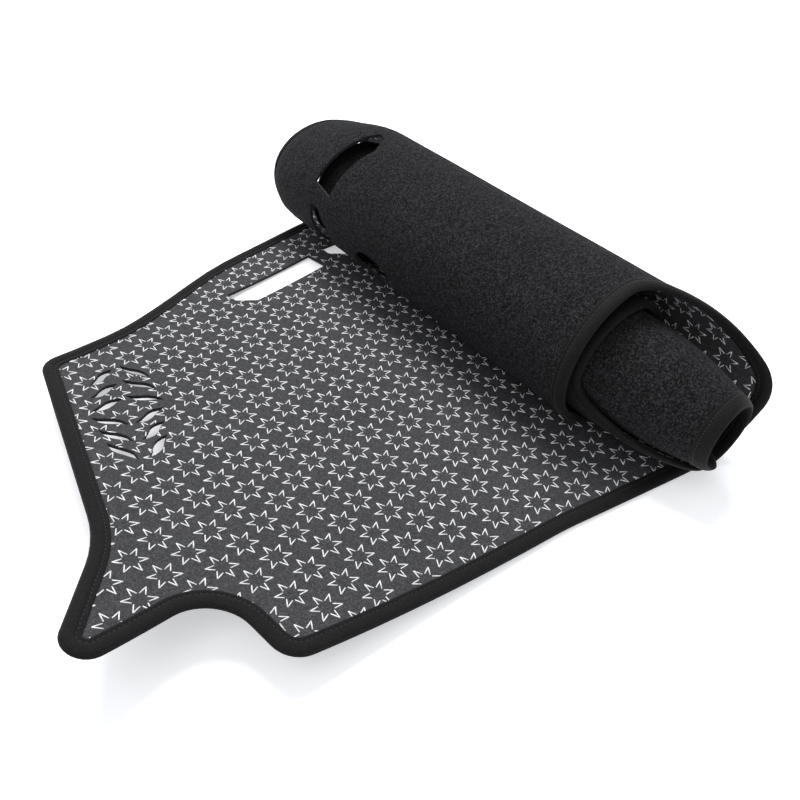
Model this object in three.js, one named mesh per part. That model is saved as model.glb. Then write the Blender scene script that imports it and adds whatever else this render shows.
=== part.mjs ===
// A dashboard cover mat, half rolled up with its felt face outwards, in millimetres with +Z up.
// The mat is drawn flat, x along its length and y across its depth, and is then bent along its length.
import * as THREE from "three";

// Sheet and tape
const SHEET_THICKNESS = 3;
const TAPE_THICKNESS = 1.1;
const TAPE_REACH = 11.5;
const TAPE_CLEARANCE = 0.8;
const TAPE_ROUNDING = 1.8;
const CORNER_SPARE = 2.5;
const CORNER_LEAST = TAPE_REACH + CORNER_SPARE;

// Outline of the flat mat, front edge
const TIP_X = -308;
const TIP_Y = -103;
const NOTCH_INNER_X = -187;
const NOTCH_INNER_Y = -77;
const NOTCH_INNER_RADIUS = 34;
const NOTCH_OUTER_X = -177;
const NOTCH_OUTER_Y = -149;
const NOTCH_OUTER_RADIUS = 20;
const FRONT_MID_X = 60;
const FRONT_MID_Y = -167;
const GENTLE_RADIUS = 300;
const FRONT_BULGE_X = 290;
const FRONT_BULGE_Y = -204;
const BULGE_RADIUS = 40;
const RECESS_START_X = 382;
const RECESS_Y = -101;
const RECESS_END_X = 846;
const RECESS_END_RADIUS = 20;
const STEP_OUT_X = 892;
const STEP_OUT_Y = -203;
const STEP_OUT_RADIUS = 24;

// Outline of the flat mat, inner end and back edge
const INNER_END_X = 1215;
const INNER_END_FRONT_Y = -212;
const INNER_END_BACK_Y = 262;
const INNER_END_RADIUS = 30;
const INNER_END_STRAIGHT = 13;
const BACK_STEP_X = 690;
const BACK_STEP_RADIUS = 90;
const BACK_CROWN_X = 570;
const BACK_CROWN_Y = 337;
const BACK_LEVEL_Y = 323;
const BACK_LEVEL_X = 154;
const BACK_FALL_X = 20;
const BACK_FALL_Y = 297;
const BACK_LOW_X = -106;
const BACK_LOW_Y = 234;
const OUTER_CORNER_X = -192;
const OUTER_CORNER_Y = 205;
const OUTER_CORNER_RADIUS = 24;
const SIDE_BEND_X = -236;
const SIDE_BEND_Y = -8;
const SIDE_BEND_RADIUS = 110;

// Air slots along the back edge, each a slanted strip with one cut corner
const SLOT_LENGTH = 112;
const SLOT_WIDTH = 27;
const SLOT_CUT_LENGTH = 17;
const SLOT_CUT_WIDTH = 14;
const SLOT_ONE_X = 10;
const SLOT_ONE_Y = 216;
const SLOT_ONE_SLOPE = 9.5;
const SLOT_TWO_X = 146;
const SLOT_TWO_Y = 239;
const SLOT_TWO_SLOPE = 2;
const SLOT_THREE_X = 396;
const SLOT_THREE_Y = 200;
const SLOT_THREE_SLOPE = 15;
const SLOT_THREE_LENGTH = 82;
const SLOT_FOUR_X = 494;
const SLOT_FOUR_Y = 222;
const SLOT_FOUR_SLOPE = 3;
const SLOT_FOUR_LENGTH = 80;

// Sensor opening in the rolled part
const SENSOR_X = 523;
const SENSOR_Y = 150;
const SENSOR_HALF_WIDTH = 17;
const SENSOR_HALF_DEPTH = 29;
const SENSOR_POINTS = 16;

// Speaker slits: two columns of leaf-shaped cuts that lean apart above and below the middle
const SLIT_LENGTH = 27;
const SLIT_HALF_WIDTH = 3.4;
const SLIT_SWING = 1.3;
const SLIT_STATION = 3;
const SLIT_ROWS = 3;
const SLIT_PITCH = 19;
const SLIT_STEPS = 5;
const OUTER_UPPER_SLIT_X = -157;
const OUTER_UPPER_SLIT_Y = 169;
const OUTER_UPPER_SLIT_ANGLE = 31;
const OUTER_UPPER_SLIT_TURN = -9;
const OUTER_UPPER_SLIT_SHIFT = -5.5;
const OUTER_LOWER_SLIT_X = -175;
const OUTER_LOWER_SLIT_Y = 110;
const OUTER_LOWER_SLIT_ANGLE = -39;
const OUTER_LOWER_SLIT_TURN = -13;
const OUTER_LOWER_SLIT_SHIFT = -3.5;
const INNER_UPPER_SLIT_X = -128;
const INNER_UPPER_SLIT_Y = 167;
const INNER_UPPER_SLIT_ANGLE = -61;
const INNER_UPPER_SLIT_TURN = 13;
const INNER_UPPER_SLIT_SHIFT = -4.5;
const INNER_LOWER_SLIT_X = -144;
const INNER_LOWER_SLIT_Y = 106;
const INNER_LOWER_SLIT_ANGLE = 19;
const INNER_LOWER_SLIT_TURN = 10;
const INNER_LOWER_SLIT_SHIFT = -5.5;

// Bend of the open end: the sheet lies flat beside the roll and lifts towards its tip
const LIFT_START_X = 125;
const LIFT_LENGTH = 420;
const LIFT_ANGLE = 24;
const LIFT_POWER = 1.55;

// Roll: each turn is level with the last until it passes the lower left, where it steps inwards
const ROLL_START_X = 181;
const ROLL_RADIUS = 67;
const FIRST_STEP = 14.5;
const NEXT_STEP = 7.5;
const FIRST_SINK = 6.5;
const STEP_FROM = 190;
const STEP_SPAN = 100;
const TURN = 360;
const BOTTOM_ANGLE = -90;

// The far end of the roll sags and turns in, and the near end of the innermost turn narrows
const SAG_FROM_Y = 232;
const SAG_LENGTH = 95;
const SAG_DEPTH = 24;
const SAG_HEIGHT = 136;
const TURN_IN_FROM_Y = 288;
const TURN_IN_SPAN = 34;
const TURN_IN_ANGLE = 32;
const TURN_IN_START_X = 200;
const TURN_IN_BLEND = 120;
const TAPER_FROM_Y = -108;
const TAPER_LENGTH = 105;
const TAPER_SHARE = 0.38;
const TAPER_START_X = 780;
const TAPER_BLEND = 110;
const TAPER_CENTRE_Z = 52;

// Fineness of the mesh
const FLAT_STATION = 26;
const ROLL_STATION_ANGLE = 12;
const ROW_FIRST_Y = -190;
const NEAR_ROWS = 2;
const FAR_ROWS = 3;
const ARC_STEP = 15;
const CURVE_STEP = 0.5;
const SAME_POINT = 1e-4;
const ROW_SPARE = 2;

const FELT_COLOUR = 0x2c2c2e;
const TAPE_COLOUR = 0x161617;
const FELT_ROUGHNESS = 0.95;
const TAPE_ROUGHNESS = 0.85;

const radians = THREE.MathUtils.degToRad;
const smooth = (u) => THREE.MathUtils.smoothstep(u, 0, 1);

// Radius and centre height of the roll's middle surface at an angle counted on through the turns.
function rollSection(angle) {
  const first = smooth((angle - STEP_FROM) / STEP_SPAN);
  const second = smooth((angle - STEP_FROM - TURN) / STEP_SPAN);
  const third = smooth((angle - STEP_FROM - TURN - TURN) / STEP_SPAN);
  return {
    radius: ROLL_RADIUS - FIRST_STEP * first - NEXT_STEP * (second + third),
    height: SHEET_THICKNESS / 2 + ROLL_RADIUS - FIRST_SINK * first,
  };
}

function rollPoint(angle) {
  const section = rollSection(angle);
  return new THREE.Vector2(
    ROLL_START_X + section.radius * Math.cos(radians(angle)),
    section.height + section.radius * Math.sin(radians(angle)),
  );
}

// The bent middle line as a list of points with their distance along the mat.
function makeCurve() {
  const points = [];
  const flat = [];
  let position = new THREE.Vector2(ROLL_START_X, SHEET_THICKNESS / 2);
  for (let x = ROLL_START_X; x > TIP_X - TAPE_REACH; x -= CURVE_STEP) {
    flat.unshift({ x, place: position.clone() });
    const run = Math.max(0, (LIFT_START_X - x) / LIFT_LENGTH);
    const slope = radians(LIFT_ANGLE) * Math.pow(run, LIFT_POWER);
    const step = new THREE.Vector2(-Math.cos(slope), Math.sin(slope)).multiplyScalar(CURVE_STEP);
    position = position.clone().add(step);
  }
  points.push(...flat);
  let along = ROLL_START_X;
  let angle = BOTTOM_ANGLE;
  let place = rollPoint(angle);
  let direction = new THREE.Vector2(1, 0);
  while (along < INNER_END_X + TAPE_REACH) {
    angle += CURVE_STEP;
    const round = rollPoint(angle);
    const straight = along > INNER_END_X - INNER_END_STRAIGHT;
    if (!straight) direction = round.clone().sub(place);
    place = place.clone().add(direction);
    along += direction.length();
    points.push({ x: along, place, angle });
  }
  return points;
}

const CURVE = makeCurve();

function curveIndex(x) {
  let low = 0;
  let high = CURVE.length - 1;
  while (high - low > 1) {
    const middle = (low + high) >> 1;
    if (CURVE[middle].x <= x) low = middle;
    else high = middle;
  }
  return low;
}

function curveAt(x) {
  const i = curveIndex(x);
  const a = CURVE[i];
  const b = CURVE[i + 1];
  return a.place.clone().lerp(b.place, (x - a.x) / (b.x - a.x));
}

// Curls the far edge of the roll inwards: an even arc, and then straight on.
function turnIn(x, y, height) {
  const share = smooth((x - TURN_IN_START_X) / TURN_IN_BLEND);
  const full = radians(TURN_IN_ANGLE);
  const radius = TURN_IN_SPAN / full;
  const run = THREE.MathUtils.clamp(y - TURN_IN_FROM_Y, 0, TURN_IN_SPAN);
  const beyond = Math.max(0, y - TURN_IN_FROM_Y - TURN_IN_SPAN);
  const lean = run / radius;
  const inward = radius * (1 - Math.cos(lean)) + beyond * Math.sin(full);
  const back = run + beyond - radius * Math.sin(lean) - beyond * Math.cos(full);
  return {
    y: y - share * back - height * Math.sin(lean * share),
    height: share * inward + height * Math.cos(lean * share),
  };
}

// Takes a point of the flat mat to its place: height counts from the middle surface to the backing side.
function bend(x, y, height) {
  const place = curveAt(x);
  const ahead = curveAt(Math.min(x + CURVE_STEP, INNER_END_X + TAPE_REACH / 2));
  const behind = curveAt(Math.max(x - CURVE_STEP, TIP_X));
  const direction = ahead.sub(behind).normalize();
  const turned = turnIn(x, y, height);
  let across = place.x - direction.y * turned.height;
  let up = place.y + direction.x * turned.height;
  if (x > ROLL_START_X) {
    const sag = smooth((y - SAG_FROM_Y) / SAG_LENGTH);
    up -= SAG_DEPTH * sag * Math.pow(up / SAG_HEIGHT, 2);
    const near = Math.max(0, (TAPER_FROM_Y - y) / TAPER_LENGTH);
    const share = TAPER_SHARE * near * near * smooth((x - TAPER_START_X) / TAPER_BLEND);
    across += (ROLL_START_X - across) * share;
    up += (TAPER_CENTRE_Z - up) * share;
  }
  return new THREE.Vector3(across, turned.y, up);
}

// A closed outline from corners, each rounded to its radius.
function roundedOutline(corners) {
  const points = [];
  corners.forEach(([x, y, radius], i) => {
    const corner = new THREE.Vector2(x, y);
    const [px, py] = corners[(i + corners.length - 1) % corners.length];
    const [nx, ny] = corners[(i + 1) % corners.length];
    const back = new THREE.Vector2(px, py).sub(corner).normalize();
    const on = new THREE.Vector2(nx, ny).sub(corner).normalize();
    const half = Math.acos(THREE.MathUtils.clamp(back.dot(on), -1, 1)) / 2;
    const centre = back.clone().add(on).normalize().multiplyScalar(radius / Math.sin(half)).add(corner);
    const from = back.clone().multiplyScalar(radius / Math.tan(half)).add(corner).sub(centre);
    const to = on.clone().multiplyScalar(radius / Math.tan(half)).add(corner).sub(centre);
    const sweep = Math.atan2(from.cross(to), from.dot(to));
    const steps = Math.max(2, Math.ceil(Math.abs(sweep) / radians(ARC_STEP)));
    for (let k = 0; k <= steps; k++) {
      const point = from.clone().rotateAround(new THREE.Vector2(), (sweep * k) / steps).add(centre);
      points.push([point.x, point.y]);
    }
  });
  return points;
}

function matOutline() {
  return roundedOutline([
    [TIP_X, TIP_Y, CORNER_LEAST],
    [NOTCH_INNER_X, NOTCH_INNER_Y, NOTCH_INNER_RADIUS],
    [NOTCH_OUTER_X, NOTCH_OUTER_Y, NOTCH_OUTER_RADIUS],
    [FRONT_MID_X, FRONT_MID_Y, GENTLE_RADIUS],
    [FRONT_BULGE_X, FRONT_BULGE_Y, BULGE_RADIUS],
    [RECESS_START_X, RECESS_Y, BULGE_RADIUS],
    [RECESS_END_X, RECESS_Y, RECESS_END_RADIUS],
    [STEP_OUT_X, STEP_OUT_Y, STEP_OUT_RADIUS],
    [INNER_END_X, INNER_END_FRONT_Y, INNER_END_RADIUS],
    [INNER_END_X, INNER_END_BACK_Y, INNER_END_RADIUS],
    [BACK_STEP_X, INNER_END_BACK_Y, BACK_STEP_RADIUS],
    [BACK_CROWN_X, BACK_CROWN_Y, BACK_STEP_RADIUS],
    [BACK_LEVEL_X, BACK_LEVEL_Y, GENTLE_RADIUS],
    [BACK_FALL_X, BACK_FALL_Y, GENTLE_RADIUS],
    [BACK_LOW_X, BACK_LOW_Y, GENTLE_RADIUS],
    [OUTER_CORNER_X, OUTER_CORNER_Y, OUTER_CORNER_RADIUS],
    [SIDE_BEND_X, SIDE_BEND_Y, SIDE_BEND_RADIUS],
  ]);
}

function turned(points, x, y, angle) {
  const pivot = new THREE.Vector2();
  return points.map(([u, v]) => {
    const point = new THREE.Vector2(u, v).rotateAround(pivot, radians(angle));
    return [point.x + x, point.y + y];
  });
}

function slot(x, y, length, angle) {
  const corners = [
    [SLOT_CUT_LENGTH, 0],
    [length, 0],
    [length, SLOT_WIDTH],
    [0, SLOT_WIDTH],
    [0, SLOT_CUT_WIDTH],
  ];
  return turned(corners, x, y, angle);
}

// A leaf-shaped slit with an S-shaped middle line, its points on shared stations of x.
function slit(x, y, angle) {
  const near = [];
  const far = [];
  for (let k = 0; k <= SLIT_STEPS; k++) {
    const u = (2 * k) / SLIT_STEPS - 1;
    const swing = SLIT_SWING * Math.sin(Math.PI * u);
    const half = SLIT_HALF_WIDTH * Math.cos((Math.PI * u) / 2);
    near.push([(u * SLIT_LENGTH) / 2, swing - half]);
    if (k > 0 && k < SLIT_STEPS) far.unshift([(u * SLIT_LENGTH) / 2, swing + half]);
  }
  const loop = turned([...near, ...far], x, y, angle);
  return loop.map(([px, py]) => [Math.round(px / SLIT_STATION) * SLIT_STATION, py]);
}

function slits() {
  const made = [];
  for (let k = 0; k < SLIT_ROWS; k++) {
    const down = SLIT_PITCH * k;
    const outerUpperX = OUTER_UPPER_SLIT_X + OUTER_UPPER_SLIT_SHIFT * k;
    const outerLowerX = OUTER_LOWER_SLIT_X + OUTER_LOWER_SLIT_SHIFT * k;
    const innerUpperX = INNER_UPPER_SLIT_X + INNER_UPPER_SLIT_SHIFT * k;
    const innerLowerX = INNER_LOWER_SLIT_X + INNER_LOWER_SLIT_SHIFT * k;
    const outerUpperAngle = OUTER_UPPER_SLIT_ANGLE + OUTER_UPPER_SLIT_TURN * k;
    const outerLowerAngle = OUTER_LOWER_SLIT_ANGLE + OUTER_LOWER_SLIT_TURN * k;
    const innerUpperAngle = INNER_UPPER_SLIT_ANGLE + INNER_UPPER_SLIT_TURN * k;
    const innerLowerAngle = INNER_LOWER_SLIT_ANGLE + INNER_LOWER_SLIT_TURN * k;
    made.push(slit(outerUpperX, OUTER_UPPER_SLIT_Y - down, outerUpperAngle));
    made.push(slit(outerLowerX, OUTER_LOWER_SLIT_Y - down, outerLowerAngle));
    made.push(slit(innerUpperX, INNER_UPPER_SLIT_Y - down, innerUpperAngle));
    made.push(slit(innerLowerX, INNER_LOWER_SLIT_Y - down, innerLowerAngle));
  }
  return made;
}

function sensorOpening() {
  const points = [];
  for (let k = 0; k < SENSOR_POINTS; k++) {
    const angle = (2 * Math.PI * k) / SENSOR_POINTS;
    const across = SENSOR_HALF_WIDTH * Math.cos(angle);
    const back = SENSOR_HALF_DEPTH * Math.sin(angle);
    points.push([SENSOR_X + across, SENSOR_Y + back]);
  }
  return points;
}

function openings() {
  return [
    slot(SLOT_ONE_X, SLOT_ONE_Y, SLOT_LENGTH, SLOT_ONE_SLOPE),
    slot(SLOT_TWO_X, SLOT_TWO_Y, SLOT_LENGTH, SLOT_TWO_SLOPE),
    slot(SLOT_THREE_X, SLOT_THREE_Y, SLOT_THREE_LENGTH, SLOT_THREE_SLOPE),
    slot(SLOT_FOUR_X, SLOT_FOUR_Y, SLOT_FOUR_LENGTH, SLOT_FOUR_SLOPE),
    sensorOpening(),
    ...slits(),
  ];
}

// Where the bend is broken into facets.
function bendStations() {
  const stations = [];
  for (let x = TIP_X; x < ROLL_START_X; x += FLAT_STATION) stations.push(x);
  stations.push(ROLL_START_X);
  let angle = BOTTOM_ANGLE;
  for (const point of CURVE) {
    if (point.angle === undefined || point.x > INNER_END_X) continue;
    if (point.angle - angle >= ROLL_STATION_ANGLE) {
      angle = point.angle;
      stations.push(point.x);
    }
  }
  return stations;
}

// Adds a point wherever a closed loop crosses one of the stations.
function splitAt(loop, stations) {
  const out = [];
  loop.forEach(([ax, ay], i) => {
    const [bx, by] = loop[(i + 1) % loop.length];
    out.push([ax, ay]);
    const low = Math.min(ax, bx) + SAME_POINT;
    const high = Math.max(ax, bx) - SAME_POINT;
    const crossed = stations.filter((x) => x > low && x < high);
    if (ax > bx) crossed.reverse();
    for (const x of crossed) out.push([x, ay + ((by - ay) * (x - ax)) / (bx - ax)]);
  });
  return out;
}

// Extra points across the roll, where its far end sags and where its near end narrows.
function rowsAt(x) {
  const rows = [];
  const near = x > TAPER_START_X ? NEAR_ROWS : -1;
  for (let k = 0; k <= near; k++) rows.push(ROW_FIRST_Y + ((TAPER_FROM_Y - ROW_FIRST_Y) * k) / NEAR_ROWS);
  if (x <= ROLL_START_X) return rows;
  rows.push(SAG_FROM_Y, INNER_END_BACK_Y - TAPE_REACH);
  for (let k = 0; k <= FAR_ROWS; k++) rows.push(TURN_IN_FROM_Y + (TURN_IN_SPAN * k) / FAR_ROWS);
  return rows;
}

// Adds a point wherever a loop's edge across the mat meets one of the extra rows.
function splitAtRows(loop) {
  return loop.flatMap(([ax, ay], i) => {
    const [bx, by] = loop[(i + 1) % loop.length];
    if (Math.abs(bx - ax) > Math.abs(by - ay)) return [[ax, ay]];
    const low = Math.min(ay, by) + ROW_SPARE;
    const high = Math.max(ay, by) - ROW_SPARE;
    const crossed = rowsAt((ax + bx) / 2).filter((y) => y > low && y < high);
    if (ay > by) crossed.reverse();
    return [[ax, ay], ...crossed.map((y) => [ax + ((bx - ax) * (y - ay)) / (by - ay), y])];
  });
}

function solidMesh(name, positions, triangles, colour, roughness) {
  const geometry = new THREE.BufferGeometry();
  geometry.setAttribute("position", new THREE.Float32BufferAttribute(positions, 3));
  geometry.setIndex(triangles);
  geometry.computeVertexNormals();
  const material = new THREE.MeshStandardMaterial({ color: colour, roughness, metalness: 0 });
  const mesh = new THREE.Mesh(geometry, material);
  mesh.name = name;
  return mesh;
}

// The sheet: cut into strips between stations, meshed strip by strip, given its thickness and bent.
function makeSheet(outline) {
  const loops = [outline, ...openings()];
  const all = [...bendStations(), ...loops.flat().map(([x]) => x)].sort((a, b) => a - b);
  const stations = all.filter((x, i) => i === 0 || x - all[i - 1] > SAME_POINT);
  const stationOf = (x) => {
    let low = 0;
    let high = stations.length - 1;
    while (high - low > 1) {
      const middle = (low + high) >> 1;
      if (stations[middle] <= x + SAME_POINT) low = middle;
      else high = middle;
    }
    return Math.abs(stations[high] - x) <= Math.abs(stations[low] - x) ? high : low;
  };
  const columns = stations.map(() => []);
  const strips = stations.map(() => []);
  const note = (k, y) => {
    if (!columns[k].some((other) => Math.abs(other - y) < SAME_POINT)) columns[k].push(y);
  };
  for (const loop of loops) {
    const cut = splitAt(loop, stations);
    cut.forEach(([ax, ay], i) => {
      const [bx, by] = cut[(i + 1) % cut.length];
      const ka = stationOf(ax);
      const kb = stationOf(bx);
      note(ka, ay);
      if (kb > ka) strips[ka].push([ay, by]);
      if (kb < ka) strips[kb].push([by, ay]);
    });
  }
  columns.forEach((column, k) => {
    for (const y of rowsAt(stations[k])) {
      if (column.every((other) => Math.abs(other - y) > ROW_SPARE)) column.push(y);
    }
  });
  columns.forEach((column) => column.sort((a, b) => a - b));
  const positions = [];
  const index = new Map();
  const vertex = (k, y) => {
    const key = k + ":" + columns[k].findIndex((other) => Math.abs(other - y) < SAME_POINT);
    if (!index.has(key)) {
      index.set(key, positions.length / 3);
      const top = bend(stations[k], y, SHEET_THICKNESS / 2);
      const bottom = bend(stations[k], y, -SHEET_THICKNESS / 2);
      positions.push(top.x, top.y, top.z, bottom.x, bottom.y, bottom.z);
    }
    return index.get(key);
  };
  const tops = [];
  strips.forEach((edges, k) => {
    edges.sort((a, b) => a[0] + a[1] - b[0] - b[1]);
    for (let i = 0; i + 1 < edges.length; i += 2) {
      const [lowerLeft, lowerRight] = edges[i];
      const [upperLeft, upperRight] = edges[i + 1];
      const within = (low, high) => (y) => y > low - SAME_POINT && y < high + SAME_POINT;
      const left = columns[k].filter(within(lowerLeft, upperLeft));
      const right = columns[k + 1].filter(within(lowerRight, upperRight));
      let l = 0;
      let r = 0;
      while (l < left.length - 1 || r < right.length - 1) {
        const goRight = l === left.length - 1 || (r < right.length - 1 && right[r + 1] <= left[l + 1]);
        const a = vertex(k, left[l]);
        const b = vertex(k + 1, right[r]);
        if (goRight) tops.push([a, b, vertex(k + 1, right[++r])]);
        else tops.push([a, b, vertex(k, left[++l])]);
      }
    }
  });
  const triangles = [];
  const directed = new Set(tops.flatMap(([a, b, c]) => [a + ">" + b, b + ">" + c, c + ">" + a]));
  for (const [a, b, c] of tops) {
    triangles.push(a, b, c, a + 1, c + 1, b + 1);
    for (const [from, to] of [[a, b], [b, c], [c, a]]) {
      if (!directed.has(to + ">" + from)) triangles.push(to, from, from + 1, to, from + 1, to + 1);
    }
  }
  return solidMesh("mat_sheet", positions, triangles, FELT_COLOUR, FELT_ROUGHNESS);
}

// The tape's cross-section, wrapped round the edge: distance inwards from the edge, then height.
function tapeSection() {
  const inner = SHEET_THICKNESS / 2 + TAPE_CLEARANCE;
  const outer = inner + TAPE_THICKNESS;
  const edge = -TAPE_CLEARANCE;
  return [
    [TAPE_REACH, outer],
    [edge + TAPE_ROUNDING - TAPE_THICKNESS, outer],
    [edge - TAPE_THICKNESS, outer - TAPE_ROUNDING],
    [edge - TAPE_THICKNESS, TAPE_ROUNDING - outer],
    [edge + TAPE_ROUNDING - TAPE_THICKNESS, -outer],
    [TAPE_REACH, -outer],
    [TAPE_REACH, -inner],
    [edge, -inner],
    [edge, inner],
    [TAPE_REACH, inner],
  ];
}

function makeTape(outline) {
  const path = splitAtRows(splitAt(outline, bendStations())).filter(([x, y], i, list) => {
    const [nx, ny] = list[(i + 1) % list.length];
    return Math.hypot(nx - x, ny - y) > TAPE_THICKNESS;
  });
  const section = tapeSection();
  const positions = [];
  const triangles = [];
  const along = [];
  path.forEach(([x, y], i) => {
    const [px, py] = path[(i + path.length - 1) % path.length];
    const [nx, ny] = path[(i + 1) % path.length];
    const before = new THREE.Vector2(py - y, x - px).normalize();
    const after = new THREE.Vector2(y - ny, nx - x).normalize();
    const inwards = before.clone().add(after).normalize();
    inwards.divideScalar(inwards.dot(after));
    for (const [reach, height] of section) {
      const point = bend(x + inwards.x * reach, y + inwards.y * reach, height);
      positions.push(point.x, point.y, point.z);
      along.push(x + inwards.x * reach);
    }
  });
  path.forEach((_, i) => {
    const here = i * section.length;
    const there = ((i + 1) % path.length) * section.length;
    section.forEach((_, j) => {
      const k = (j + 1) % section.length;
      const span = Math.abs(along[here + j] - along[there + k]);
      const otherSpan = Math.abs(along[here + k] - along[there + j]);
      if (span <= otherSpan) triangles.push(here + j, here + k, there + k, here + j, there + k, there + j);
      else triangles.push(here + j, here + k, there + j, here + k, there + k, there + j);
    });
  });
  return solidMesh("edge_binding", positions, triangles, TAPE_COLOUR, TAPE_ROUGHNESS);
}

const outline = matOutline();
const mat = new THREE.Group();
mat.name = "dashboard_cover_mat";
mat.add(makeSheet(outline));
mat.add(makeTape(outline));

// The origin is the middle of the mat's base.
const box = new THREE.Box3().setFromObject(mat);
const middle = box.getCenter(new THREE.Vector3());
for (const piece of mat.children) piece.geometry.translate(-middle.x, -middle.y, -box.min.z);

export default mat;
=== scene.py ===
"""Looks of a dashboard cover mat that lies half rolled up: felt, printed backing, edge tape and stitches."""

from __future__ import annotations

import bisect
import enum
import logging
import math
from dataclasses import dataclass, field

import bpy
import numpy as np
from mathutils import Matrix, Vector, noise


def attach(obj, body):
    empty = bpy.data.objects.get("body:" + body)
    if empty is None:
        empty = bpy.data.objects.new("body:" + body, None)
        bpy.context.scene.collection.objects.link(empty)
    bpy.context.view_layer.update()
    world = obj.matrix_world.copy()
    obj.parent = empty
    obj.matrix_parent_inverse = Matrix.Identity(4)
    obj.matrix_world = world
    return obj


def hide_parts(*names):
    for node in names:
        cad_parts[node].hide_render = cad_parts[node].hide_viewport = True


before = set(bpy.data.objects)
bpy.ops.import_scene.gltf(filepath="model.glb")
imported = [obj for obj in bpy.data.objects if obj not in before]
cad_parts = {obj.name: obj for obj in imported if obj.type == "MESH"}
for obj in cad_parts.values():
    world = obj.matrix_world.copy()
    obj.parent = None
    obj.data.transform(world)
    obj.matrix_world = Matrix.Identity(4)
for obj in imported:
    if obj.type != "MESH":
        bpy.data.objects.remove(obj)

log = logging.getLogger("mat")

MM = 0.001
SAME_POINT = 1e-4
SHORTEST_EDGE = 1e-3
SHORTEST_SQUARE = 1e-12

Point = tuple[float, float]
Loop = list[Point]
Colour = tuple[float, float, float]


class Face(enum.IntEnum):
    """Material slots of the mat's sheet."""

    FELT = 0
    BACKING = 1
    CUT_EDGE = 2


@dataclass(frozen=True)
class SheetSizes:
    """Sizes of the sheet and of its edge tape, in millimetres."""

    thickness: float = 3.0
    tape_reach: float = 11.5
    corner_spare: float = 2.5
    shift_x: float = 15.36
    shift_y: float = -60.808
    shift_z: float = 1.903

    @property
    def corner_least(self) -> float:
        """Smallest outer corner that the tape can follow."""
        return self.tape_reach + self.corner_spare


@dataclass(frozen=True)
class RollSizes:
    """Sizes of the bend of the open end and of the roll, in millimetres and degrees."""

    tip_x: float = -308.0
    lift_start_x: float = 125.0
    lift_length: float = 420.0
    lift_angle: float = 24.0
    lift_power: float = 1.55
    start_x: float = 181.0
    radius: float = 67.0
    first_step: float = 14.5
    next_step: float = 7.5
    first_sink: float = 6.5
    step_from: float = 190.0
    step_span: float = 100.0
    end_x: float = 1215.0
    end_straight: float = 13.0
    sag_from_y: float = 232.0
    sag_length: float = 95.0
    sag_depth: float = 18.0
    sag_height: float = 136.0
    turn_in_from_y: float = 302.0
    turn_in_span: float = 34.0
    turn_in_angle: float = 44.0
    turn_in_start_x: float = 200.0
    turn_in_blend: float = 120.0
    taper_from_y: float = -108.0
    taper_length: float = 105.0
    taper_share: float = 0.38
    taper_start_x: float = 780.0
    taper_blend: float = 110.0
    taper_centre_z: float = 52.0


def smooth(u: np.ndarray | float) -> np.ndarray | float:
    """Goes from 0 to 1 with a level start and end.

    Args:
        u: Values, of which those outside 0 to 1 are held at the ends.

    Returns:
        The smoothed values.
    """
    v = np.clip(u, 0.0, 1.0)
    return v * v * (3.0 - 2.0 * v)


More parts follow.
